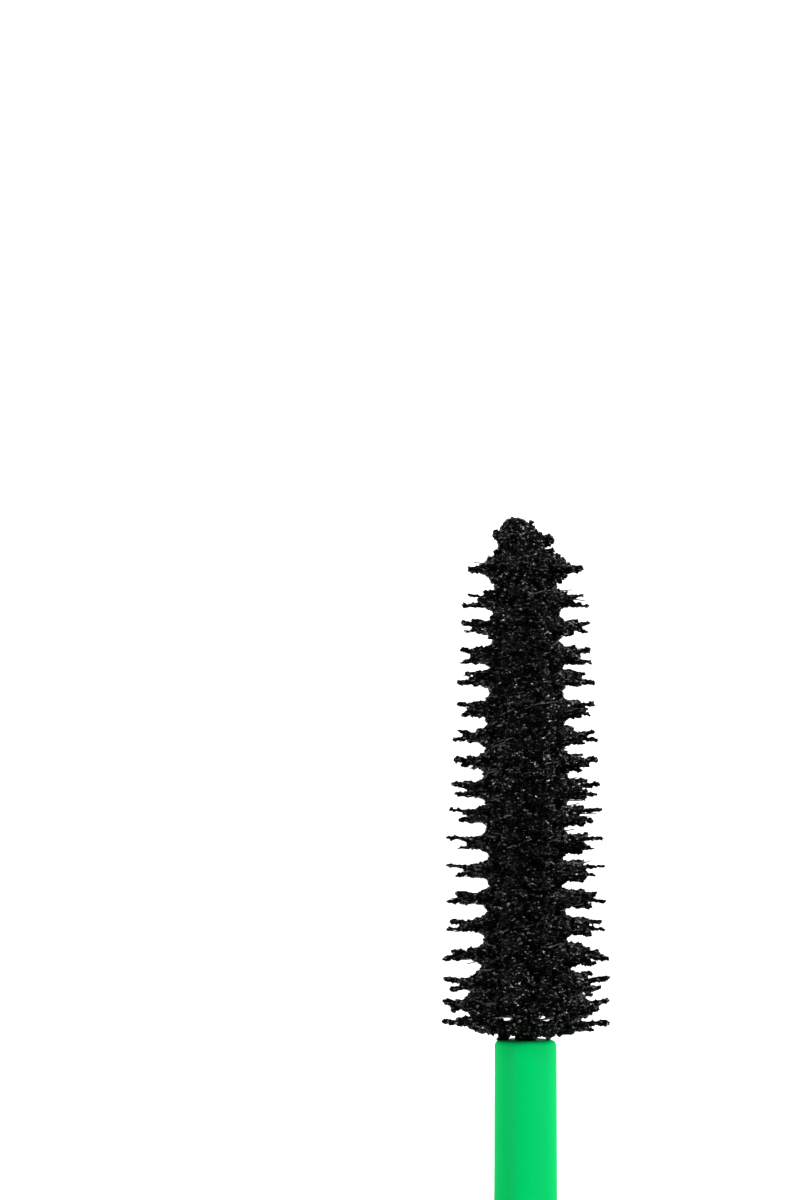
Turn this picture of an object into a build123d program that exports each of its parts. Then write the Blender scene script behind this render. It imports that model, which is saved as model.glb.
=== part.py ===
"""Compact screw-cap mascara, opened: the wand is drawn straight out of its tube and both lie on a table.

Millimetres, +Z up from the table. The tube's long axis runs along +Y at the height of its own
radius: cap, stem and brush first, then a clear gap, then the open neck and the tube's body.
The origin is on the table, under the middle of the whole length.
Places along the axis are named ..._y, and radii are measured from that axis.
"""

import os
from math import cos, radians, sin

from build123d import *

# ---------------------------------------------------------------- driving dimensions
tube_radius = 8.0  # outside of the cap and of the tube's body
cap_length = 40.0
stem_reach = 8.9  # stem that shows between the cap's rim and the brush
brush_length = 26.1
clear_gap = 30.0  # between the brush's tip and the open mouth
neck_length = 13.0
body_length = 42.0
seam = 0.3  # left between the cap's rim and the body when the tube is closed
fit_gap = 0.03  # radial room between pieces that are pushed together
edge_round = 0.3

# places along the axis, from the cap's closed end to the tube's base
total_length = cap_length + stem_reach + brush_length + clear_gap + neck_length + body_length
cap_end_y = -total_length / 2
rim_y = cap_end_y + cap_length
stem_tip_y = rim_y + stem_reach
brush_tip_y = stem_tip_y + brush_length
mouth_y = brush_tip_y + clear_gap
shoulder_y = mouth_y + neck_length
base_y = shoulder_y + body_length
closing_travel = shoulder_y - rim_y - seam

tube_axis = Axis((0, 0, tube_radius), (0, 1, 0))
turning_plane = Plane.XY.offset(tube_radius)  # x is the radius, y the place along the axis


def outline(*points):
    """The face inside a closed outline of (radius, place) points, ready to be turned about the axis."""
    with BuildSketch(turning_plane) as profile:
        with BuildLine():
            Polyline(*points, close=True)
        make_face()
    return profile.sketch


def rings_at(part, place, radius=None):
    """The circular edges of a turned part that lie at one place, or the one of that radius there."""
    found = part.edges().filter_by(GeomType.CIRCLE).filter_by(lambda e: abs(e.center().Y - place) < 0.01)
    if radius is not None:
        found = found.filter_by(lambda e: abs(e.radius - radius) < 0.01)
    return found


os.makedirs("parts", exist_ok=True)


def write(builder, name):
    """Labels a finished piece and writes it as its own node."""
    builder.part.label = name
    export_step(builder.part, f"parts/{name}.step")


# ---------------------------------------------------------------- screw thread, two starts
thread_lead = 4.0  # travel in one turn
thread_starts = 2
thread_height = 6.0
neck_radius = 5.3
neck_thread_crest = 5.95
liner_thread_root = 6.1
liner_thread_crest = 5.42
ridge_foot = 1.2  # width of a ridge where it stands on its wall
ridge_top = 0.6
ridge_bed = 0.06  # how deep a ridge is sunk in its wall
thread_start_y = mouth_y + 1.6


def thread_ridges(wall_radius, crest_radius, start_y):
    """Right-hand trapezoid ridges, one for each start, that stand on a wall and reach to the crest radius."""
    outward = 1 if crest_radius > wall_radius else -1
    bed_radius = wall_radius - outward * ridge_bed
    height = abs(crest_radius - bed_radius)
    with BuildPart() as ridges:
        for start in range(thread_starts):
            with BuildLine(mode=Mode.PRIVATE) as path:
                Helix(
                    pitch=thread_lead,
                    height=thread_height,
                    radius=bed_radius,
                    center=(0, start_y + start * thread_lead / thread_starts, tube_radius),
                    direction=(0, 1, 0),
                )
            foot = path.line @ 0
            away_from_wall = (foot - Vector(0, foot.Y, tube_radius)) * outward
            with BuildSketch(Plane(origin=foot, x_dir=away_from_wall, z_dir=path.line % 0)):
                with BuildLine():
                    Polyline(
                        (0, -ridge_foot / 2),
                        (0, ridge_foot / 2),
                        (height, ridge_top / 2),
                        (height, -ridge_top / 2),
                        close=True,
                    )
                make_face()
            sweep(path=path.line, is_frenet=True)
    return ridges.part


# ---------------------------------------------------------------- the tube's side
sleeve_bore = 7.2
sleeve_lip = 0.9  # thickness of the sleeve's closed shoulder
collar_radius = 6.0  # the vial's plain collar, which fills the shoulder's hole
collar_length = 1.4

# Outer sleeve: a drawn cup with a hole in its shoulder for the neck.
with BuildPart() as outer_sleeve:
    revolve(
        outline(
            (collar_radius + fit_gap, shoulder_y),
            (tube_radius, shoulder_y),
            (tube_radius, base_y),
            (sleeve_bore, base_y),
            (sleeve_bore, shoulder_y + sleeve_lip),
            (collar_radius + fit_gap, shoulder_y + sleeve_lip),
        ),
        axis=tube_axis,
    )
    fillet(rings_at(outer_sleeve, shoulder_y, tube_radius), 0.7)
    fillet(rings_at(outer_sleeve, base_y, tube_radius), edge_round)
write(outer_sleeve, "outer_sleeve")

# Inner vial: thick-walled bottle with the threaded neck, pushed into the sleeve from its base.
vial_radius = sleeve_bore - fit_gap
cavity_radius = 5.25
neck_bore = 4.3
vial_shoulder_y = shoulder_y + sleeve_lip + fit_gap
cavity_start_y = vial_shoulder_y + 1.2
base_insert_depth = 2.6
vial_end_y = base_y - base_insert_depth
cavity_end_y = vial_end_y - 1.6
bead_y = mouth_y + 8.0  # groove that the wiper's snap bead sits in
bead_half = 0.5
bead_depth = 0.2

neck_ridges = thread_ridges(neck_radius, neck_thread_crest, thread_start_y)
with BuildPart() as neck_thread:
    add(neck_ridges)
    # a ridge fades out over its first and last stretch
    revolve(
        outline(
            (neck_radius - 2 * ridge_bed, mouth_y),
            (neck_radius, mouth_y + 1.0),
            (neck_thread_crest + 1, mouth_y + 3.2),
            (neck_thread_crest + 1, shoulder_y - 4.2),
            (neck_radius, shoulder_y - 2.0),
            (neck_radius - 2 * ridge_bed, shoulder_y - 1.5),
        ),
        axis=tube_axis,
        mode=Mode.INTERSECT,
    )

with BuildPart() as inner_vial:
    revolve(
        outline(
            (neck_bore, mouth_y),
            (neck_radius, mouth_y),
            (neck_radius, shoulder_y - collar_length),
            (collar_radius, shoulder_y - collar_length),
            (collar_radius, vial_shoulder_y),
            (vial_radius, vial_shoulder_y),
            (vial_radius, vial_end_y),
            (0, vial_end_y),
            (0, cavity_end_y),
            (cavity_radius, cavity_end_y),
            (cavity_radius, cavity_start_y),
            (neck_bore, cavity_start_y),
            (neck_bore, bead_y + bead_half),
            (neck_bore + bead_depth, bead_y + bead_half / 2),
            (neck_bore + bead_depth, bead_y - bead_half / 2),
            (neck_bore, bead_y - bead_half),
        ),
        axis=tube_axis,
    )
    fillet(rings_at(inner_vial, mouth_y, neck_radius), 0.2)
    fillet(rings_at(inner_vial, shoulder_y - collar_length, collar_radius), 0.25)
    fillet(rings_at(inner_vial, cavity_end_y, cavity_radius), 1.2)
    fillet(rings_at(inner_vial, vial_end_y, vial_radius), edge_round)
    add(neck_thread.part)
write(inner_vial, "inner_vial")

# Wiper: soft funnel snapped into the neck, whose lip strips the stem and the brush.
wiper_flange = 0.8
wiper_flange_radius = 5.15
wiper_barrel = neck_bore - fit_gap
wiper_bore = 3.5
wiper_cone_y = mouth_y + 7.0
wiper_lip_y = mouth_y + 11.6
wiper_orifice = 1.7
wiper_wall = 0.5
wiper_top_y = mouth_y - wiper_flange

with BuildPart() as wiper:
    revolve(
        outline(
            (wiper_bore, wiper_top_y),
            (wiper_flange_radius, wiper_top_y),
            (wiper_flange_radius, mouth_y - fit_gap),
            (wiper_barrel, mouth_y - fit_gap),
            (wiper_barrel, bead_y - bead_half),
            (wiper_barrel + bead_depth, bead_y - bead_half / 4),
            (wiper_barrel + bead_depth, bead_y + bead_half / 4),
            (wiper_barrel, bead_y + bead_half),
            (wiper_orifice + wiper_wall, wiper_lip_y),
            (wiper_orifice, wiper_lip_y),
            (wiper_bore, wiper_cone_y),
        ),
        axis=tube_axis,
    )
    fillet(rings_at(wiper, wiper_top_y, wiper_flange_radius), 0.25)
    fillet(rings_at(wiper, wiper_top_y, wiper_bore), 0.35)
write(wiper, "wiper")

# Mascara in the tube: thick paste that lines the vial, with the channel that the brush leaves.
channel_radius = 4.6
paste_gap = 0.05
paste_top_y = cavity_start_y + 1.4
paste_end_y = cavity_end_y - paste_gap
channel_end_y = paste_end_y - 1.4

with BuildPart() as mascara_in_tube:
    revolve(
        outline(
            (channel_radius, paste_top_y + 0.6),
            (cavity_radius - paste_gap, paste_top_y),
            (cavity_radius - paste_gap, paste_end_y),
            (0, paste_end_y),
            (0, channel_end_y),
            (channel_radius, channel_end_y),
        ),
        axis=tube_axis,
    )
    fillet(rings_at(mascara_in_tube, paste_end_y, cavity_radius - paste_gap), 1.25)
write(mascara_in_tube, "mascara_in_tube")

# Base insert: plug that closes the sleeve, with a shallow seat for the round sticker.
sticker_radius = 5.6
sticker_thickness = 0.12
base_inset = 0.3
sticker_seat = 0.25
insert_outer_y = base_y - base_inset

with BuildPart() as base_insert:
    revolve(
        outline(
            (0, vial_end_y + fit_gap),
            (vial_radius, vial_end_y + fit_gap),
            (vial_radius, insert_outer_y),
            (sticker_radius + 0.1, insert_outer_y),
            (sticker_radius + 0.1, insert_outer_y - sticker_seat),
            (0, insert_outer_y - sticker_seat),
        ),
        axis=tube_axis,
    )
    fillet(rings_at(base_insert, insert_outer_y, vial_radius), 0.25)
write(base_insert, "base_insert")

with BuildPart() as base_sticker:
    sticker_back_y = insert_outer_y - sticker_seat
    revolve(
        outline(
            (0, sticker_back_y),
            (sticker_radius, sticker_back_y),
            (sticker_radius, sticker_back_y + sticker_thickness),
            (0, sticker_back_y + sticker_thickness),
        ),
        axis=tube_axis,
    )
write(base_sticker, "base_sticker")

# ---------------------------------------------------------------- the cap's side
shell_wall = 1.0
shell_bore = tube_radius - shell_wall
ring_length = 1.6
end_disc_thickness = 1.5
end_wall = 1.3
weight_radius = 5.0
weight_length = 9.0
ring_seat_y = rim_y - ring_length
end_wall_outer_y = cap_end_y + end_disc_thickness
end_wall_inner_y = end_wall_outer_y + end_wall
end_disc_radius = 7.2

# Cap shell: glossy outer cup, with a seat for the end disc and a socket for the weight.
with BuildPart() as cap_shell:
    revolve(
        outline(
            (shell_bore, ring_seat_y),
            (tube_radius, ring_seat_y),
            (tube_radius, cap_end_y),
            (end_disc_radius, cap_end_y),
            (end_disc_radius, end_wall_outer_y),
            (0, end_wall_outer_y),
            (0, end_wall_inner_y),
            (weight_radius + fit_gap, end_wall_inner_y),
            (weight_radius + fit_gap, end_wall_inner_y + weight_length),
            (weight_radius + 0.8, end_wall_inner_y + weight_length),
            (weight_radius + 0.8, end_wall_inner_y),
            (shell_bore, end_wall_inner_y),
        ),
        axis=tube_axis,
    )
    fillet(rings_at(cap_shell, cap_end_y, tube_radius), 0.5)
write(cap_shell, "cap_shell")

# End disc: slightly crowned insert in the cap's closed end.
with BuildPart() as cap_end_disc:
    disc_radius = end_disc_radius - fit_gap
    revolve(
        outline(
            (0, end_wall_outer_y - fit_gap),
            (disc_radius, end_wall_outer_y - fit_gap),
            (disc_radius, cap_end_y),
            (0, cap_end_y),
        ),
        axis=tube_axis,
    )
    fillet(rings_at(cap_end_disc, cap_end_y, disc_radius), edge_round)
write(cap_end_disc, "cap_end_disc")

# Cap weight: steel slug that gives the cap its heft.
with BuildPart() as cap_weight:
    weight_start_y = end_wall_inner_y + fit_gap
    revolve(
        outline(
            (0, weight_start_y),
            (weight_radius, weight_start_y),
            (weight_radius, weight_start_y + weight_length),
            (0, weight_start_y + weight_length),
        ),
        axis=tube_axis,
    )
    chamfer(cap_weight.edges().filter_by(GeomType.CIRCLE), 0.4)
write(cap_weight, "cap_weight")

# Thread liner: inner cap that carries the thread, with a deck that holds the stem's root.
washer_thickness = 1.0
washer_face_y = wiper_top_y - closing_travel - 0.1  # meets the wiper's flange when the tube is closed
deck_y = washer_face_y - washer_thickness - fit_gap
deck_thickness = 1.8
deck_back_y = deck_y - deck_thickness
liner_radius = shell_bore - fit_gap
liner_front_y = rim_y - 0.4
flange_radius = 4.6
flange_thickness = 1.6
skirt_end_y = deck_back_y - flange_thickness - 1.6
stem_root_radius = 1.64  # the stem where it passes the deck
root_seat = stem_root_radius + fit_gap

# midway between the neck's ridges when the tube is closed
liner_thread_start_y = thread_start_y - closing_travel + thread_lead / (2 * thread_starts)
liner_ridges = thread_ridges(liner_thread_root, liner_thread_crest, liner_thread_start_y)

with BuildPart() as thread_liner:
    revolve(
        outline(
            (liner_thread_root, liner_front_y),
            (liner_radius, liner_front_y),
            (liner_radius, skirt_end_y),
            (flange_radius + 0.6, skirt_end_y),
            (flange_radius + 0.6, deck_back_y),
            (root_seat, deck_back_y),
            (root_seat, deck_y),
            (liner_thread_root, deck_y),
        ),
        axis=tube_axis,
    )
    chamfer(rings_at(thread_liner, liner_front_y, liner_thread_root), 0.35)
    add(liner_ridges)
write(thread_liner, "thread_liner")

# Rim ring: satin metal band that finishes the cap's open edge.
with BuildPart() as rim_ring:
    revolve(
        outline(
            (shell_bore, ring_seat_y + fit_gap),
            (tube_radius, ring_seat_y + fit_gap),
            (tube_radius, rim_y),
            (shell_bore - 0.7, rim_y),
            (shell_bore - 0.7, liner_front_y + fit_gap),
            (shell_bore, liner_front_y + fit_gap),
        ),
        axis=tube_axis,
    )
    fillet(rings_at(rim_ring, rim_y, tube_radius), 0.35)
    fillet(rings_at(rim_ring, ring_seat_y + fit_gap, tube_radius), 0.1)
write(rim_ring, "rim_ring")

# Sealing washer: loose ring at the bottom of the cap's recess. It stays with the neck while the cap turns.
washer_bore = stem_root_radius + 0.06
washer_radius = liner_thread_crest - 0.2

with BuildPart() as sealing_washer:
    revolve(
        outline(
            (washer_bore, washer_face_y - washer_thickness),
            (washer_radius, washer_face_y - washer_thickness),
            (washer_radius, washer_face_y),
            (washer_bore, washer_face_y),
        ),
        axis=tube_axis,
    )
    fillet(rings_at(sealing_washer, washer_face_y, washer_radius), 0.2)
write(sealing_washer, "sealing_washer")

# ---------------------------------------------------------------- the brush
row_count = 18
half_pitch = 1.34  # the fibres turn half round the wire from one row to the next
first_row_y = stem_tip_y + 0.77
last_row_y = first_row_y + (row_count - 1) * half_pitch
stem_side_reach = 4.18  # fibre tips from the axis in the row beside the stem
tip_side_reach = 2.92  # and in the last row
fibre_radius = 0.045
fibre_taper = 0.2  # degrees
fibres_in_row = 12

strand_radius = 0.25
strand_offset = strand_radius + fibre_radius + 0.005  # the fibres pass between the two strands
wire_radius = strand_offset + strand_radius
half_turns_in_stem = 7
wire_start_y = first_row_y - half_turns_in_stem * half_pitch
wire_end_y = brush_tip_y - 1.0


def row_reach(place):
    """How far the fibre tips stand from the axis at a place along the brush, which narrows to its tip."""
    share = (last_row_y - place) / (last_row_y - first_row_y)
    return tip_side_reach + (stem_side_reach - tip_side_reach) * min(max(share, 0), 1) ** 0.7


# Core wire: two strands twisted together, one full turn for every two rows of fibres.
with BuildPart() as core_wire:
    for half_turn in (0, 180):
        with BuildLine(mode=Mode.PRIVATE) as helix:
            Helix(
                pitch=2 * half_pitch,
                height=wire_end_y - wire_start_y,
                radius=strand_offset,
                center=(0, wire_start_y, tube_radius),
                direction=(0, 1, 0),
            )
        strand = helix.line.rotate(tube_axis, half_turn)
        with BuildSketch(Plane(origin=strand @ 0, z_dir=strand % 0)):
            Circle(strand_radius)
        sweep(path=strand, is_frenet=True)
write(core_wire, "core_wire")

# Fibre rows: each fibre runs straight through the wire, and the next one is turned a little further.
# A fibre is six-sided here, which keeps so thin a piece simple.
for row in range(row_count):
    row_y = first_row_y + row * half_pitch
    with BuildPart() as fibre_row:
        for fibre in range(fibres_in_row):
            step = (fibre + 0.5) / fibres_in_row - 0.5
            fibre_y = row_y + step * half_pitch
            turn = radians(180 * step)
            across = Vector(cos(turn), 0, -sin(turn))
            with BuildSketch(Plane(origin=(0, fibre_y, tube_radius), x_dir=(0, 1, 0), z_dir=across)):
                RegularPolygon(fibre_radius, 6)
            extrude(amount=row_reach(fibre_y), both=True, taper=fibre_taper)
    write(fibre_row, f"fibre_row_{row + 1:02d}")

# Mascara on the brush: the load that the wiper leaves round the wire, between the fibres.
coat_start_y = stem_tip_y + 0.5
coat_radius = 2.0
coat_tip_radius = 1.5
coat_end_y = last_row_y + 0.75

with BuildPart() as mascara_on_brush:
    revolve(
        outline(
            (wire_radius + fit_gap, coat_start_y),
            (0.85, coat_start_y),
            (coat_radius, coat_start_y + 0.9),
            (coat_radius, (coat_start_y + coat_end_y) / 2),
            (coat_tip_radius, last_row_y),
            (1.2, coat_end_y),
            (wire_radius + fit_gap, coat_end_y),
        ),
        axis=tube_axis,
    )
write(mascara_on_brush, "mascara_on_brush")

# Tip drop: mascara that gathers over the wire's cut end.
drop_radius = 1.55
drop_start_y = coat_end_y + 0.02

with BuildPart() as tip_drop:
    revolve(
        outline(
            (0, wire_end_y + 0.2),
            (wire_radius + fit_gap, wire_end_y + 0.2),
            (wire_radius + fit_gap, drop_start_y),
            (1.2, drop_start_y),
            (drop_radius, drop_start_y + 0.5),
            (drop_radius, drop_start_y + 0.9),
            (0.7, brush_tip_y),
            (0, brush_tip_y),
        ),
        axis=tube_axis,
    )
    fillet(rings_at(tip_drop, brush_tip_y, 0.7), 0.4)
    fillet(rings_at(tip_drop, drop_start_y + 0.9, drop_radius), 0.4)
write(tip_drop, "tip_drop")

# Stem: moulded rod with a little draft, flanged behind the liner's deck and bored for the wire.
stem_tip_radius = 1.55
wire_seat_radius = wire_radius + fit_gap
wire_seat_y = wire_start_y - 0.3
stem_foot_y = deck_back_y - flange_thickness

with BuildPart() as stem:
    revolve(
        outline(
            (0, stem_foot_y),
            (flange_radius, stem_foot_y),
            (flange_radius, deck_back_y - fit_gap),
            (stem_root_radius, deck_back_y - fit_gap),
            (stem_root_radius, washer_face_y),
            (stem_tip_radius, stem_tip_y),
            (wire_seat_radius, stem_tip_y),
            (wire_seat_radius, wire_seat_y),
            (0, wire_seat_y),
        ),
        axis=tube_axis,
    )
    fillet(rings_at(stem, stem_tip_y, stem_tip_radius), 0.28)
write(stem, "stem")
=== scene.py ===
# %% [markdown]
# # A compact mascara, opened on a table
# The wand has been unscrewed and drawn straight out of its tube. The turned and moulded parts come
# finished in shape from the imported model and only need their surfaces. The brush is different: its
# fibres are loaded with wet mascara, and that is a job for mesh work.

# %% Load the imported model
import math
import random

import bmesh
import bpy
from mathutils import Matrix, Vector, noise


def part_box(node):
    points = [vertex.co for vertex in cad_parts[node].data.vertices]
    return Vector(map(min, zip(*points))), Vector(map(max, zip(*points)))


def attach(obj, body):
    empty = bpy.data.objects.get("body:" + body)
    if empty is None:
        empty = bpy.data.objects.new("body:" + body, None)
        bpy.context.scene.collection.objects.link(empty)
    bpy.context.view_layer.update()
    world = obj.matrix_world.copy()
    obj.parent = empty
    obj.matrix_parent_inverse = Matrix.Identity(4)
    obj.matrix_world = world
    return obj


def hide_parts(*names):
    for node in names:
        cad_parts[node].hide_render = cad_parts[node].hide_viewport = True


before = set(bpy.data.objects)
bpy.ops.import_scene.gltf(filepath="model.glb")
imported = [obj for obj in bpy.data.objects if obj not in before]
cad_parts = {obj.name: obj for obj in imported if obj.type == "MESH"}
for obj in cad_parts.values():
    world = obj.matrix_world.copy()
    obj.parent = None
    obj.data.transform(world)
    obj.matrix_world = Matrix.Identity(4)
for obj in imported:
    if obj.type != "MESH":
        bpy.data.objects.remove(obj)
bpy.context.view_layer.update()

MM = 0.001

# %% [markdown]
# ## Where things are
# Everything is turned about one long axis, so the script needs only the height of that axis and a
# few places along it. They are read from the model's own pieces, in millimetres, because the brush
# is modelled in millimetres and scaled to metres at the end.


# %% Places along the axis
def span(node):
    """The lowest and highest corners of a model node, in millimetres."""
    low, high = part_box(node)
    return low / MM, high / MM


ROW_NAMES = sorted(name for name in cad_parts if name.startswith("fibre_row_"))
ROW_DRIFT = (  # how far each row stands from the model's even spacing, from the stem to the tip
    -0.06, -0.37, -0.63, -0.51, -0.45, -0.39, -0.33, -0.27, -0.26,
    -0.30, -0.28, -0.32, -0.31, -0.10, -0.33, -0.21, -0.22, 0.0,
)
wire_low, wire_high = span("core_wire")
AXIS_Z = (wire_low.z + wire_high.z) / 2
STEM_TIP_Y = span("stem")[1].y
BRUSH_TIP_Y = span("tip_drop")[1].y
ROWS = []
for name, drift in zip(ROW_NAMES, ROW_DRIFT):
    low, high = span(name)
    ROWS.append({"node": name, "y": (low.y + high.y) / 2 + drift, "reach": (high.x - low.x) / 2})
HALF_PITCH = (ROWS[-1]["y"] - ROWS[0]["y"]) / (len(ROWS) - 1)
print("axis height", round(AXIS_Z, 2), "rows", len(ROWS), "half pitch", round(HALF_PITCH, 3))

# %% [markdown]
# ## Camera
# A product shot from straight above with a long lens, so that the sides of the brush show almost
# without perspective. The brush stands right of the middle and the stem leaves at the bottom edge.

# %% Camera
VIEW_DISTANCE = 250.0  # above the axis, in mm
VIEW_LEFT_OF_AXIS = 6.28
VIEW_BELOW_TIP = 4.1

camera_data = bpy.data.cameras.new("top_camera")
camera_data.lens = 150
camera_data.sensor_width = 36
camera_data.clip_start = 0.01
camera_data.clip_end = 20
camera = bpy.data.objects.new("top_camera", camera_data)
camera.location = Vector((-VIEW_LEFT_OF_AXIS, BRUSH_TIP_Y - VIEW_BELOW_TIP, AXIS_Z + VIEW_DISTANCE)) * MM
bpy.context.scene.collection.objects.link(camera)
bpy.context.scene.camera = camera
bpy.context.scene.view_settings.view_transform = "Standard"
print("camera at", [round(c, 4) for c in camera.location])

# %% [markdown]
# ## Materials, and how they are written
# Colours are given as sRGB hex values, the way a colour card states them, and turned to the linear
# values that shaders add and multiply. One small function adds a node: its properties, the values
# of its sockets, and the outputs that feed them.


# %% Colour and node helpers
def colour(hex_text):
    """An sRGB hex colour as linear red, green, blue and an alpha of one."""
    parts = [int(hex_text[i : i + 2], 16) / 255 for i in (1, 3, 5)]
    return tuple(p / 12.92 if p <= 0.04045 else ((p + 0.055) / 1.055) ** 2.4 for p in parts) + (1.0,)


def add_node(tree, kind, sockets=None, **properties):
    """Adds a node. A socket's entry is either a value or the output that is linked to it."""
    made = tree.nodes.new(kind)
    for name, value in properties.items():
        setattr(made, name, value)
    for name, value in (sockets or {}).items():
        if isinstance(value, bpy.types.NodeSocket):
            tree.links.new(value, made.inputs[name])
        else:
            made.inputs[name].default_value = value
    return made


def grey(value):
    """A linear grey with an alpha of one."""
    return (value,) * 3 + (1.0,)


def new_material(name):
    """An empty material with its object coordinates and its output."""
    made = bpy.data.materials.new(name)
    made.use_nodes = True
    made.node_tree.nodes.clear()
    coords = add_node(made.node_tree, "ShaderNodeTexCoord").outputs["Object"]
    output = add_node(made.node_tree, "ShaderNodeOutputMaterial")
    return made, made.node_tree, coords, output


def ramp(tree, factor, stops):
    """A colour ramp with the given (position, colour) stops."""
    made = add_node(tree, "ShaderNodeValToRGB", {"Fac": factor})
    elements = made.color_ramp.elements
    while len(elements) < len(stops):
        elements.new(0.5)
    for element, (position, shade) in zip(elements, stops):
        element.position = position
        element.color = shade
    return made.outputs["Color"]


# %% [markdown]
# ## Stage
# A plain white table under soft light. The sky is bright near the horizon and dim overhead, like a
# studio with pale walls and a dark ceiling: black, wet surfaces that face up then stay black, and
# only catch the lamps as small glints.

# %% Floor, sky and lamps
FLOOR_SIZE = 3.0
floor_shape = bmesh.new()
bmesh.ops.create_grid(floor_shape, x_segments=1, y_segments=1, size=FLOOR_SIZE)
floor_mesh = bpy.data.meshes.new("table_top")
floor_shape.to_mesh(floor_mesh)
floor_shape.free()
floor = bpy.data.objects.new("table_top", floor_mesh)
bpy.context.scene.collection.objects.link(floor)

paper, tree, coords, output = new_material("matt_white_paper_roll")
shader = add_node(tree, "ShaderNodeBsdfPrincipled", {
    "Base Color": colour("#FBFBFB"),
    "Roughness": 0.9,
    "Specular IOR Level": 0.1,
})
tree.links.new(shader.outputs["BSDF"], output.inputs["Surface"])
floor_mesh.materials.append(paper)

world = bpy.data.worlds.new("studio")
bpy.context.scene.world = world
world.use_nodes = True
sky = world.node_tree
sky.nodes.clear()
direction = add_node(sky, "ShaderNodeTexCoord").outputs["Generated"]
height = add_node(sky, "ShaderNodeSeparateXYZ", {"Vector": direction}).outputs["Z"]
shade = ramp(sky, height, [(0.0, grey(1.0)), (0.22, grey(0.9)), (0.5, grey(0.02))])
background = add_node(sky, "ShaderNodeBackground", {"Color": shade, "Strength": 1.0})
add_node(sky, "ShaderNodeOutputWorld", {"Surface": background.outputs["Background"]})


SOFT_BOX = 0.2  # side of each lamp, in metres
BRUSH_MIDDLE = Vector((0, -0.018, AXIS_Z * MM))


def add_lamp(name, place, power, tint="#FFFFFF"):
    """A square soft box at a place in metres, turned to the middle of the brush."""
    data = bpy.data.lights.new(name, "AREA")
    data.shape = "SQUARE"
    data.size = SOFT_BOX
    data.energy = power
    data.color = colour(tint)[:3]
    lamp = bpy.data.objects.new(name, data)
    lamp.location = place
    lamp.rotation_mode = "QUATERNION"
    lamp.rotation_quaternion = (BRUSH_MIDDLE - lamp.location).to_track_quat("-Z", "Y")
    bpy.context.scene.collection.objects.link(lamp)


add_lamp("key_right", Vector((0.60, 0.12, 0.36)), 9.0, "#F6F9FF")
add_lamp("fill_left", Vector((-0.58, -0.05, 0.42)), 5.7, "#FFFDF8")
add_lamp("back_top", Vector((0.05, 0.55, 0.60)), 2.3)
add_lamp("front_top", Vector((-0.05, -0.60, 0.60)), 0.5)

# %% [markdown]
# ## Moulded plastics
# Injection moulded plastic is smooth but never mirror-flat. It keeps faint flow lines along the part,
# its gloss wanders a little, and handling leaves fine scratches. One function makes each of this
# object's plastics from a colour, a darker tone of it and a gloss.


# %% Moulded plastic
PLASTIC_IOR = 1.49
GLOSS_PATCH = 3.0  # millimetres over which the gloss wanders


def moulded_plastic(name, base, flow_tone, gloss, flow_pitch, depth=0.02, specular=0.35, glow=0.0):
    """Plastic with flow lines that run along Y, flow_pitch millimetres apart and depth deep.

    gloss is its roughness, and glow the share of light that passes under its skin.
    """
    made, tree, coords, output = new_material(name)
    along = add_node(tree, "ShaderNodeMapping", {
        "Vector": coords, "Scale": (1.0, 0.03, 1.0),
    }).outputs["Vector"]
    flow = add_node(tree, "ShaderNodeTexNoise", {
        "Vector": along, "Scale": 1 / (flow_pitch * MM), "Detail": 3.0,
    }).outputs["Fac"]
    patches = add_node(tree, "ShaderNodeTexNoise", {
        "Vector": coords, "Scale": 1 / (GLOSS_PATCH * MM), "Detail": 2.0,
    }).outputs["Fac"]
    rough = add_node(tree, "ShaderNodeMapRange", {
        "Value": patches, "To Min": gloss - 0.05, "To Max": gloss + 0.08,
    })
    bump = add_node(tree, "ShaderNodeBump", {"Height": flow, "Strength": 0.2, "Distance": depth * MM})
    shader = add_node(tree, "ShaderNodeBsdfPrincipled", {
        "Base Color": ramp(tree, flow, [(0.3, colour(base)), (0.8, colour(flow_tone))]),
        "Roughness": rough.outputs["Result"],
        "Normal": bump.outputs["Normal"],
        "IOR": PLASTIC_IOR,
        "Specular IOR Level": specular,
        "Subsurface Weight": glow,
        "Subsurface Radius": (0.6, 1.0, 0.6),
        "Subsurface Scale": 0.4 * MM,
    })
    tree.links.new(shader.outputs["BSDF"], output.inputs["Surface"])
    return made


# Stem and thread liner: green polypropylene, semi-gloss from a polished mould.
green_polypropylene = moulded_plastic(
    "green_polypropylene", "#009E50", "#00984C", 0.5, flow_pitch=0.8, depth=0.01, specular=0.015
)
# Sleeve: the same green in a harder, glossier plastic.
green_abs = moulded_plastic("green_abs", "#00A553", "#009F4F", 0.2, flow_pitch=1.2)
# Cap shell and base insert: polished black ABS, which is nearly a mirror.
black_abs = moulded_plastic(
    "black_abs", "#0B0B0C", "#111112", 0.1, flow_pitch=1.5, depth=0.01, specular=0.5
)
# Vial: natural polypropylene, milky and semi-matt.
natural_polypropylene = moulded_plastic(
    "natural_polypropylene", "#B4B7B3", "#A9ADA8", 0.42, flow_pitch=0.35, specular=0.3, glow=0.2
)
# Washer: expanded polyethylene, matt and white.
foamed_polyethylene = moulded_plastic(
    "foamed_polyethylene", "#C6C6C1", "#B6B6B0", 0.8, flow_pitch=0.15, depth=0.05, specular=0.2
)
print("plastics made")

# %% [markdown]
# ## Anodised aluminium
# The rim ring and the end disc are turned from aluminium and anodised. The lathe leaves rings round
# the axis that are too fine to count; they spread the highlight into a soft satin. The rings are
# drawn coarser here than real ones, so that they show at all.

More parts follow.
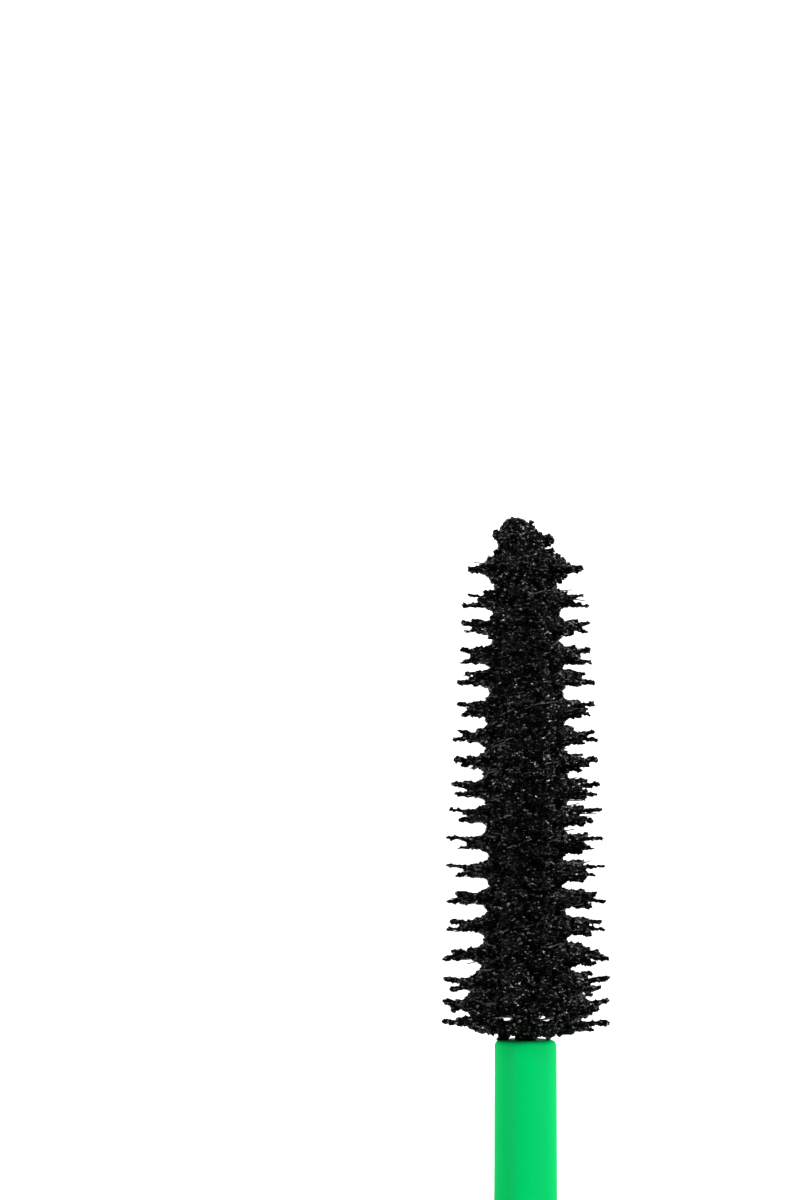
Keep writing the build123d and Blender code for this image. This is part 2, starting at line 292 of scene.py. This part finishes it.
# %% Satin aluminium
RING_PITCH = 0.08
anodised_aluminium, tree, coords, output = new_material("satin_anodised_aluminium")
centred = add_node(tree, "ShaderNodeMapping", {
    "Vector": coords, "Location": (0, 0, -AXIS_Z * MM), "Scale": (1, 0, 1),
}).outputs["Vector"]
radius = add_node(tree, "ShaderNodeVectorMath", {0: centred}, operation="LENGTH").outputs["Value"]
place = add_node(tree, "ShaderNodeSeparateXYZ", {"Vector": coords}).outputs["Y"]
turned = add_node(tree, "ShaderNodeCombineXYZ", {"X": radius, "Y": place}).outputs["Vector"]
rings = add_node(tree, "ShaderNodeTexNoise", {
    "Vector": turned, "Scale": 1 / (RING_PITCH * MM), "Detail": 2.0,
}).outputs["Fac"]
rough = add_node(tree, "ShaderNodeMapRange", {"Value": rings, "To Min": 0.24, "To Max": 0.36})
bump = add_node(tree, "ShaderNodeBump", {"Height": rings, "Strength": 0.25, "Distance": 0.004 * MM})
shader = add_node(tree, "ShaderNodeBsdfPrincipled", {
    "Base Color": ramp(tree, rings, [(0.3, colour("#C4C5C7")), (0.7, colour("#B4B5B8"))]),
    "Metallic": 1.0,
    "Roughness": rough.outputs["Result"],
    "Normal": bump.outputs["Normal"],
})
tree.links.new(shader.outputs["BSDF"], output.inputs["Surface"])

# %% [markdown]
# ## Steel
# The weight in the cap is a slug cut from a drawn bar of plain low-carbon steel. Drawing, cutting and
# handling leave fine marks, so its gloss is uneven.

# %% Steel
TOOL_MARK = 0.1
drawn_steel, tree, coords, output = new_material("drawn_steel")
lines = add_node(tree, "ShaderNodeTexNoise", {
    "Vector": coords, "Scale": 1 / (TOOL_MARK * MM), "Detail": 3.0,
}).outputs["Fac"]
rough = add_node(tree, "ShaderNodeMapRange", {"Value": lines, "To Min": 0.25, "To Max": 0.45})
shader = add_node(tree, "ShaderNodeBsdfPrincipled", {
    "Base Color": ramp(tree, lines, [(0.3, colour("#8E8F91")), (0.7, colour("#A6A7A9"))]),
    "Metallic": 1.0,
    "Roughness": rough.outputs["Result"],
})
tree.links.new(shader.outputs["BSDF"], output.inputs["Surface"])

# %% [markdown]
# ## Mascara
# Mascara is wax, water and carbon-black pigment. It is about as black as a paint gets. Where it is
# wet it shines, and where it has begun to dry it turns satin, so its gloss is patchy. Its skin is
# covered with grains and short strokes, which run across the brush and rise with the twist.

# %% Wet black paste
GRAIN = 0.17  # millimetres from one ridge of the skin to the next
BEAD = 0.11  # and from one wet glint to the next
WET_PATCH = 0.5  # millimetres over which wet turns to satin
TWIST = 0.2  # radians that a stroke rises from straight across
mascara_paste, tree, coords, output = new_material("black_mascara_paste")
strokes = add_node(tree, "ShaderNodeMapping", {
    "Vector": coords, "Rotation": (0, 0, -TWIST), "Scale": (0.4, 1.0, 0.7),
}).outputs["Vector"]
grain = add_node(tree, "ShaderNodeTexNoise", {
    "Vector": strokes, "Scale": 1 / (GRAIN * MM), "Detail": 2.0, "Roughness": 0.55,
}).outputs["Fac"]
patches = add_node(tree, "ShaderNodeTexNoise", {
    "Vector": coords, "Scale": 1 / (WET_PATCH * MM), "Detail": 2.0,
}).outputs["Fac"]
wet = add_node(tree, "ShaderNodeMapRange", {
    "Value": patches, "From Min": 0.4, "From Max": 0.62, "To Min": 0.42, "To Max": 0.15,
})
beads = add_node(tree, "ShaderNodeTexNoise", {
    "Vector": strokes, "Scale": 1 / (BEAD * MM), "Detail": 1.0,
}).outputs["Fac"]
shine = add_node(tree, "ShaderNodeMapRange", {
    "Value": beads, "From Min": 0.56, "From Max": 0.67, "To Min": 0.02, "To Max": 0.95,
})
bump = add_node(tree, "ShaderNodeBump", {"Height": grain, "Strength": 1.0, "Distance": 0.08 * MM})
shader = add_node(tree, "ShaderNodeBsdfPrincipled", {
    "Base Color": ramp(tree, grain, [(0.3, colour("#020202")), (0.75, colour("#070606"))]),
    "Roughness": wet.outputs["Result"],
    "Normal": bump.outputs["Normal"],
    "IOR": 1.45,
    "Specular IOR Level": shine.outputs["Result"],
})
tree.links.new(shader.outputs["BSDF"], output.inputs["Surface"])

# %% [markdown]
# ## Nylon fibre
# The fibres are extruded nylon, dyed black, and here they are wet with mascara.

# %% Black nylon
FILM_PATCH = 0.15
black_nylon, tree, coords, output = new_material("black_nylon_fibre")
film = add_node(tree, "ShaderNodeTexNoise", {
    "Vector": coords, "Scale": 1 / (FILM_PATCH * MM), "Detail": 2.0,
}).outputs["Fac"]
rough = add_node(tree, "ShaderNodeMapRange", {"Value": film, "To Min": 0.2, "To Max": 0.45})
shader = add_node(tree, "ShaderNodeBsdfPrincipled", {
    "Base Color": ramp(tree, film, [(0.3, colour("#070707")), (0.7, colour("#121212"))]),
    "Roughness": rough.outputs["Result"],
    "IOR": 1.53,
})
tree.links.new(shader.outputs["BSDF"], output.inputs["Surface"])

# %% [markdown]
# ## Wiper
# The wiper is soft polyethylene, milky grey, and its bore is stained where the brush has been drawn
# through it. The stain is painted by distance from the axis, broken up with noise.

# %% Stained polyethylene
STAIN_RADIUS = 3.9
STAIN_LOBE = 0.8  # millimetres from one lobe of the stain's edge to the next
STAIN_RAGGED = 1.6  # how far the edge wanders
stained_polyethylene, tree, coords, output = new_material("stained_polyethylene")
on_axis = add_node(tree, "ShaderNodeMapping", {
    "Vector": coords, "Location": (0, 0, -AXIS_Z), "Scale": (1 / MM, 0, 1 / MM),
}).outputs["Vector"]
radius = add_node(tree, "ShaderNodeVectorMath", {0: on_axis}, operation="LENGTH").outputs["Value"]
blotch = add_node(tree, "ShaderNodeTexNoise", {
    "Vector": coords, "Scale": 1 / (STAIN_LOBE * MM), "Detail": 4.0,
}).outputs["Fac"]
edge = add_node(tree, "ShaderNodeMath", {
    0: blotch, 1: STAIN_RAGGED, 2: radius,
}, operation="MULTIPLY_ADD").outputs["Value"]
stain = add_node(tree, "ShaderNodeMapRange", {
    "Value": edge, "From Min": STAIN_RADIUS + 0.75, "From Max": STAIN_RADIUS + 0.95,
}).outputs["Result"]
rough = add_node(tree, "ShaderNodeMapRange", {"Value": stain, "To Min": 0.28, "To Max": 0.5})
shader = add_node(tree, "ShaderNodeBsdfPrincipled", {
    "Base Color": ramp(tree, stain, [(0.0, colour("#080808")), (1.0, colour("#A4A6A3"))]),
    "Roughness": rough.outputs["Result"],
})
tree.links.new(shader.outputs["BSDF"], output.inputs["Surface"])

# %% [markdown]
# ## Paper
# The sticker on the base is coated paper. Its calendered face is smooth, with a faint fibre fleck.

# %% Coated paper
FLECK = 0.2
coated_paper, tree, coords, output = new_material("coated_paper")
fleck = add_node(tree, "ShaderNodeTexNoise", {
    "Vector": coords, "Scale": 1 / (FLECK * MM), "Detail": 4.0,
}).outputs["Fac"]
bump = add_node(tree, "ShaderNodeBump", {"Height": fleck, "Strength": 0.15, "Distance": 0.01 * MM})
shader = add_node(tree, "ShaderNodeBsdfPrincipled", {
    "Base Color": ramp(tree, fleck, [(0.3, colour("#C9C9C5")), (0.7, colour("#BFBFBA"))]),
    "Roughness": 0.45,
    "Normal": bump.outputs["Normal"],
})
tree.links.new(shader.outputs["BSDF"], output.inputs["Surface"])

# %% [markdown]
# ## Finishes
# Each turned or moulded part takes one of the materials. The core wire is coated with mascara, so it
# gets the paste's look and not the steel's.

# %% Give the model's own nodes their finishes
FINISHES = {
    "stem": green_polypropylene,
    "thread_liner": green_polypropylene,
    "outer_sleeve": green_abs,
    "cap_shell": black_abs,
    "base_insert": black_abs,
    "rim_ring": anodised_aluminium,
    "cap_end_disc": anodised_aluminium,
    "cap_weight": drawn_steel,
    "core_wire": mascara_paste,
    "inner_vial": natural_polypropylene,
    "wiper": stained_polyethylene,
    "sealing_washer": foamed_polyethylene,
    "base_sticker": coated_paper,
    "mascara_in_tube": mascara_paste,
}
for name, finish in FINISHES.items():
    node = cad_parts[name]
    if not node.material_slots:
        node.data.materials.append(finish)
    for slot in node.material_slots:
        slot.material = finish
print("finished", len(FINISHES), "nodes")

# %% [markdown]
# ## The brush: clumps
# A twisted-wire brush is a screw of fibres. Each fibre passes straight through the wire, and each one
# is turned a little further than the last, so the fibres make two blades that wind round the wire.
# Wet mascara glues neighbouring fibres into clumps: thick and merged near the wire, thin and knobbly
# at the ends. Each clump starts as a tapered rod. All the rods of a row are then melted together with
# a voxel remesh, which does what the paste does.

# %% A tapered, lumpy rod
dice = random.Random(7)  # one source of chance, so every run makes the same brush
ON_AXIS = Vector((0, 0, AXIS_Z))


def unit_rod(sides, cuts):
    """A closed rod of radius one that stands on the origin, one high, with rings of vertices along it."""
    name = f"unit_rod_{sides}_{cuts}"
    if name not in bpy.data.meshes:
        shape = bmesh.new()
        lift = Matrix.Translation((0, 0, 0.5))
        bmesh.ops.create_cone(
            shape, cap_ends=True, segments=sides, radius1=1, radius2=1, depth=1, matrix=lift
        )
        long_edges = [edge for edge in shape.edges if abs(edge.verts[0].co.z - edge.verts[1].co.z) > 0.5]
        bmesh.ops.subdivide_edges(shape, edges=long_edges, cuts=cuts)
        shape.to_mesh(bpy.data.meshes.new(name))
        shape.free()
    return bpy.data.meshes[name]


def add_rod(shape, foot, tip, radius_at, sides=8, cuts=9, lumps=0.0, bow=Vector((0, 0, 0)), place=None):
    """Adds a closed rod from foot to tip. radius_at gives its radius at 0..1 of its length.

    lumps swells and pinches it by that share, bow pushes its middle aside, and place is a function
    that moves each finished vertex, for rods that are wrapped round something.
    """
    reach = tip - foot
    turn = reach.to_track_quat("Z", "Y").to_matrix()
    seed = Vector((dice.uniform(0, 500), 0, 0))
    rod = bmesh.new()
    rod.from_mesh(unit_rod(sides, cuts))
    for vert in rod.verts:
        share = vert.co.z
        around = Vector((vert.co.x, vert.co.y, 0))
        swell = 1 + lumps * noise.noise(around + Vector((0, 0, share * cuts * 0.8)) + seed)
        local = around * radius_at(share) * swell + Vector((0, 0, share * reach.length))
        spot = foot + turn @ local + bow * 4 * share * (1 - share)
        vert.co = place(spot) if place else spot
    rod_mesh = bpy.data.meshes.new("rod")
    rod.to_mesh(rod_mesh)
    rod.free()
    shape.from_mesh(rod_mesh)
    bpy.data.meshes.remove(rod_mesh)


FIN_SHARE = 0.55  # the share of its length over which a prong is a fin
FIN_HOLLOW = 1.35  # 1 is a straight-sided fin, and more is a hollow-sided one
ROUNDED_END = 0.98  # beyond this share of its length the prong is half as thick


def prong_radius(foot_radius, tip_radius):
    """A prong's outline: a broad hollow-sided foot, then an even stalk to its rounded end."""

    def at(share):
        foot = max(0.0, 1 - share / FIN_SHARE) ** FIN_HOLLOW
        return (tip_radius + (foot_radius - tip_radius) * foot) * (1 if share < ROUNDED_END else 0.5)

    return at


# %% [markdown]
# The remesh and the ripples work in millimetres, because a voxel of this size is below what the
# modifier accepts in metres. The finished skin is scaled to metres as the last step.


# %% Melt rods into one skin
ripple_texture = bpy.data.textures.new("paste_ripples", "CLOUDS")
ripple_texture.noise_scale = 0.28
ripple_texture.noise_depth = 3
grain_texture = bpy.data.textures.new("paste_grain", "CLOUDS")
grain_texture.noise_scale = 0.11
grain_texture.noise_depth = 2


def melt(shape, name, voxel, ripple, grain, cutter=None):
    """One closed skin over everything in shape, with ripples and grain pushed into it, in metres.

    What cutter covers is taken away before the ripples are made.
    """
    raw = bpy.data.meshes.new(name + "_raw")
    shape.to_mesh(raw)
    shape.free()
    piece = bpy.data.objects.new(name, raw)
    bpy.context.scene.collection.objects.link(piece)
    skin = piece.modifiers.new("skin", "REMESH")
    skin.mode = "VOXEL"
    skin.voxel_size = voxel
    skin.use_smooth_shade = True
    if cutter:
        cut = piece.modifiers.new("cut", "BOOLEAN")
        cut.object = cutter
        cut.operation = "DIFFERENCE"
        cut.solver = "EXACT"
    for texture, strength in ((ripple_texture, ripple), (grain_texture, grain)):
        push = piece.modifiers.new("push", "DISPLACE")
        push.texture = texture
        push.texture_coords = "LOCAL"
        push.mid_level = 0.5
        push.strength = strength
    graph = bpy.context.evaluated_depsgraph_get()
    finished = bpy.data.meshes.new_from_object(piece.evaluated_get(graph))
    piece.modifiers.clear()
    piece.data = finished
    finished.transform(Matrix.Scale(MM, 4))
    finished.name = name
    bpy.data.meshes.remove(raw)
    return piece


def finish_piece(piece, material, body, slot, *stands_for):
    """Gives a piece its material and its body, and hides the nodes that it stands for. Its slot is not
    used.
    """
    piece.data.materials.clear()
    piece.data.materials.append(material)
    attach(piece, body)
    if stands_for:
        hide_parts(*stands_for)
    print(piece.name, len(piece.data.polygons), "faces")


# %% [markdown]
# The wiper leaves a coat of paste round the wire, thick beside the stem and thinner towards the tip.
# A short list of places and radii says how thick. It comes before the clumps because they start
# inside the paste.

# %% The wiped load of paste, as a profile
first_y, last_y = ROWS[0]["y"], ROWS[-1]["y"]
PASTE_PROFILE = [  # (place along the axis, radius), from the stem to the tip
    (STEM_TIP_Y + 0.1, 0.5), (first_y - 0.3, 0.55), (first_y - 0.18, 1.7), (first_y - 0.08, 2.3),
    (first_y + 0.2, 2.7), (first_y + 0.6, 2.6), (first_y + 1.2, 2.85), (first_y + 1.9, 2.6),
    (first_y + 2.7, 1.95), (first_y + 4.0, 2.0), (first_y + 6.7, 1.65), (first_y + 9.5, 1.8),
    (first_y + 13.0, 1.95), (last_y - 5.0, 1.7), (last_y - 2.0, 1.5), (last_y - 0.75, 1.4),
    (last_y - 0.3, 1.9), (last_y + 0.1, 2.15), (last_y + 0.4, 1.9), (last_y + 0.7, 1.45),
    (last_y + 0.9, 0.9),
]


def paste_radius(y):
    """The radius of the paste profile at a place along the wire."""
    for (y0, r0), (y1, r1) in zip(PASTE_PROFILE, PASTE_PROFILE[1:]):
        if y0 <= y <= y1:
            return r0 + (r1 - r0) * (y - y0) / (y1 - y0)
    return PASTE_PROFILE[-1][1]


# %% [markdown]
# In each row, five clumps fan out to each side as the blade winds round the wire, and each clump
# forks into two prongs that lean apart. The rows at the two ends differ. The first one has no clumps
# on the stem's side. In the last one they are bunched along the wire, so from above they show as one
# blunt prong on each side.

# %% Clumps of one row
STATIONS = (-0.4, -0.2, 0.0, 0.2, 0.4)  # where clumps leave the wire, as shares of half a pitch
FORK = 0.27  # how far a clump's two prongs lean apart along the wire
DRAG = 0.4  # how much of its way along the wire a prong's tip has lost again
PRONG_TIP = 0.125  # radius of a prong's stalk
FOOT_FIRST, FOOT_BETWEEN, FOOT_LAST = 0.45, 0.86, 0.36  # radius of a prong where it leaves the paste
LAST_SPREAD = 0.25  # how much of its spread along the wire the last row keeps
LAST_FORK = 0.2
LAST_REACH = 0.97
LAST_THICKNESS = 1.35
FOOT_DEPTH = 0.35  # how deep in the paste the clumps start
VOXEL = 0.07
RIPPLE, ROUGH_GRAIN = 0.22, 0.26  # how far the skin of a clump is pushed in and out


def blade_direction(share):
    """Which way the fibres point at a share of half a pitch from a row's middle, where they lie along X."""
    return Vector((math.cos(math.pi * share), 0, -math.sin(math.pi * share)))


def add_opposite(shape):
    """Repeats everything in shape half a turn round the wire."""
    copies = bmesh.ops.duplicate(shape, geom=shape.verts[:] + shape.edges[:] + shape.faces[:])["geom"]
    verts = [part for part in copies if isinstance(part, bmesh.types.BMVert)]
    bmesh.ops.rotate(shape, verts=verts, cent=ON_AXIS, matrix=Matrix.Rotation(math.pi, 3, "Y"))


def build_row(row, cutter=None):
    """One row of clumps, melted into one skin."""
    shape = bmesh.new()
    by_stem, by_tip = row is ROWS[0], row is ROWS[-1]
    fork = FORK * (LAST_FORK if by_tip else dice.uniform(0.8, 1.2))
    foot_radius = FOOT_FIRST if by_stem else FOOT_LAST if by_tip else FOOT_BETWEEN
    start = paste_radius(row["y"]) - FOOT_DEPTH
    longer = dice.choice((-1, 1))
    for station in STATIONS[1:] if by_stem else STATIONS:
        share = station + dice.uniform(-0.02, 0.02)
        across = blade_direction(share)
        if by_tip:
            share *= LAST_SPREAD
        along = share * HALF_PITCH
        middle = ON_AXIS + Vector((0, row["y"] + (max(along, 0) if by_stem else along), 0))
        for layer in (-1, 1):
            reach = row["reach"] * (dice.uniform(1.0, 1.05) if layer == longer else dice.uniform(0.9, 1.0))
            stray = dice.uniform(-0.06, 0.06)
            lean = layer * fork * (1 - 2 * abs(share)) - DRAG * share * HALF_PITCH + stray
            if by_stem:
                lean = abs(lean)
            if by_tip:
                reach *= LAST_REACH
            thick = dice.uniform(0.8, 1.25) * (LAST_THICKNESS if by_tip else 1)
            foot = middle + across * start
            tip = middle + Vector((0, lean, 0)) + across * reach
            outline = prong_radius(foot_radius, PRONG_TIP * thick)
            bow = Vector((0, dice.uniform(-0.07, 0.07), 0))
            add_rod(shape, foot, tip, outline, cuts=14, lumps=0.75, bow=bow)
    add_opposite(shape)
    return melt(shape, row["node"].replace("fibre", "clump"), VOXEL, RIPPLE, ROUGH_GRAIN, cutter)


# %% [markdown]
# Just above the stem the paste bridges from row to row, but two slits beside the wire stay open, and
# the table shows through them. They are cut with two thin upright blades.

# %% Cutter for the slits beside the wire
SLIT_INSIDE, SLIT_OUTSIDE = 0.6, 1.35  # from the axis
SLIT_ABOVE_ROW = 0.36
SLIT_HEIGHT = 0.28
SLIT_TILT = Matrix.Rotation(math.radians(-4.8), 4, "X")  # the fibres there lean away from the stem
slit_shape = bmesh.new()
for side in (-1, 1):
    middle = Vector((side * (SLIT_INSIDE + SLIT_OUTSIDE) / 2, ROWS[0]["y"] + SLIT_ABOVE_ROW, AXIS_Z))
    size = Matrix.Diagonal((SLIT_OUTSIDE - SLIT_INSIDE, SLIT_HEIGHT, 2 * AXIS_Z, 1))
    bmesh.ops.create_cube(slit_shape, size=1, matrix=Matrix.Translation(middle) @ SLIT_TILT @ size)
slit_mesh = bpy.data.meshes.new("slit_cutter")
slit_shape.to_mesh(slit_mesh)
slit_shape.free()
slit_cutter = bpy.data.objects.new("slit_cutter", slit_mesh)
bpy.context.scene.collection.objects.link(slit_cutter)

# %% [markdown]
# Now every row is built, in order, and hides the straight fibres that it stands for in the model. The
# slits reach into the first two.

# %% Build the rows
for row in ROWS:
    cutter = slit_cutter if row in ROWS[:2] else None
    finish_piece(build_row(row, cutter), mascara_paste, "wand", "mascara", row["node"])

# %% [markdown]
# ## The brush: the load of paste
# The coat of paste fills the space round the wire, between the blades. Its profile is spun about the
# axis, then remeshed and rippled like the clumps, because a wiped coat is never turned true.

# %% Paste round the wire
PASTE_SEGMENTS = 48
SPILLS = ((-1.15, 0.22), (1.2, 0.28))  # across and radius of the paste pushed against the stem's end


def spin_profile(shape, points):
    """A closed skin from (place, radius) points, spun about the long axis."""
    rim = [shape.verts.new((radius, y, AXIS_Z)) for y, radius in points]
    ends = [shape.verts.new((0, points[i][0], AXIS_Z)) for i in (0, -1)]
    chain = [ends[0], *rim, ends[1]]
    edges = [shape.edges.new(pair) for pair in zip(chain, chain[1:])]
    bmesh.ops.spin(
        shape, geom=chain + edges, cent=ON_AXIS, axis=(0, 1, 0), angle=2 * math.pi,
        steps=PASTE_SEGMENTS, use_merge=True, use_duplicate=False,
    )
    bmesh.ops.remove_doubles(shape, verts=shape.verts[:], dist=0.001)
    bmesh.ops.recalc_face_normals(shape, faces=shape.faces[:])


paste_shape = bmesh.new()
spin_profile(paste_shape, PASTE_PROFILE)
for across, radius in SPILLS:
    foot, tip = (Vector((across, y, AXIS_Z)) for y in (STEM_TIP_Y + 0.05, first_y))
    add_rod(paste_shape, foot, tip, lambda share: radius, cuts=4, lumps=0.4)
brush_paste = melt(paste_shape, "brush_paste", voxel=0.08, ripple=0.9, grain=0.5, cutter=slit_cutter)
finish_piece(brush_paste, mascara_paste, "wand", "mascara", "mascara_on_brush")
bpy.data.objects.remove(slit_cutter)

# %% [markdown]
# ## The brush: loose fibres
# Some fibres stand clear of the clumps, as single hairs. Others were bent over by the wiper and lie
# wrapped round the paste, where they catch the light as short strokes that follow the twist.

# %% Single fibres
HAIR_RADIUS = 0.04
HAIR_FOOT = 1.2  # how far from the axis a hair starts, inside the paste
HAIRS_IN_ROW = 5
WRAPS_IN_ROW = 20


def hair_radius(share):
    """A hair's radius at 0..1 of its length."""
    return HAIR_RADIUS * (1.1 - 0.4 * share)


def build_hairs():
    """Single hairs that stand out between the clumps."""
    shape = bmesh.new()
    for row in ROWS[1:]:
        for number in range(HAIRS_IN_ROW):
            share = (number + 0.5) / HAIRS_IN_ROW - 0.5
            foot_y = row["y"] + share * HALF_PITCH
            across = blade_direction(share) * dice.choice((1, -1))
            foot = ON_AXIS + Vector((0, foot_y, 0)) + across * HAIR_FOOT
            tip_y = foot_y + dice.gauss(0, 0.22)
            tip = ON_AXIS + Vector((0, tip_y, 0)) + across * row["reach"] * dice.uniform(0.8, 0.99)
            bow = Vector((0, dice.uniform(-0.1, 0.1), 0))
            add_rod(shape, foot, tip, hair_radius, sides=4, cuts=3, bow=bow)
    return shape


def build_wraps():
    """Hairs that lie wrapped round the paste, each along a short stretch of a helix."""
    shape = bmesh.new()
    for row in ROWS[:-1]:
        for _ in range(WRAPS_IN_ROW):
            y = row["y"] + dice.uniform(-0.5, 0.5) * HALF_PITCH
            start = dice.uniform(0, 2 * math.pi)
            length = dice.uniform(0.4, 1.5)
            climb = length * dice.uniform(0.05, 0.45)
            radius = paste_radius(y) + dice.uniform(0.0, 0.1)

            def wrap(spot):
                angle = start + spot.x / radius
                out = radius + spot.z
                return ON_AXIS + Vector((out * math.sin(angle), spot.y, out * math.cos(angle)))

            foot, tip = Vector((0, y, 0)), Vector((length, y + climb, 0))
            add_rod(shape, foot, tip, lambda share: HAIR_RADIUS, sides=4, cuts=6, place=wrap)
    return shape


def in_metres(shape, name):
    """A finished piece from a shape in millimetres."""
    bmesh.ops.recalc_face_normals(shape, faces=shape.faces[:])
    mesh = bpy.data.meshes.new(name)
    shape.to_mesh(mesh)
    shape.free()
    mesh.transform(Matrix.Scale(MM, 4))
    mesh.shade_smooth()
    piece = bpy.data.objects.new(name, mesh)
    bpy.context.scene.collection.objects.link(piece)
    return piece


finish_piece(in_metres(build_hairs(), "single_fibres"), black_nylon, "wand", "fibre_nylon")
finish_piece(in_metres(build_wraps(), "wrapped_fibres"), black_nylon, "wand", "fibre_nylon")

# %% [markdown]
# ## The brush: the drop at its tip
# Paste gathers over the end of the wire as a few blobs that have run together.

# %% Tip drop
BLOBS = [  # (across, back from the tip, up), radius in mm
    ((-0.5, 0.82, 0.1), 0.82),
    ((-0.12, 0.88, -0.1), 0.68),
    ((0.28, 0.28, 0.1), 0.12),
    ((-0.8, 1.2, 0.0), 0.6),
    ((-0.95, 1.45, 0.0), 0.42),
    ((-1.4, 0.85, 0.05), 0.24),
    ((0.0, 1.4, 0.0), 0.95),
    ((0.6, 1.15, 0.1), 0.4),
    ((1.1, 1.1, 0.1), 0.3),
    ((0.0, 1.7, 0.0), 0.95),
]
drop_shape = bmesh.new()
for (across, back, up), radius in BLOBS:
    centre = Matrix.Translation(Vector((across, BRUSH_TIP_Y - back, AXIS_Z + up)))
    bmesh.ops.create_icosphere(drop_shape, subdivisions=3, radius=radius, matrix=centre)
tip_paste = melt(drop_shape, "tip_paste", voxel=0.06, ripple=0.25, grain=0.38)
finish_piece(tip_paste, mascara_paste, "wand", "mascara", "tip_drop")
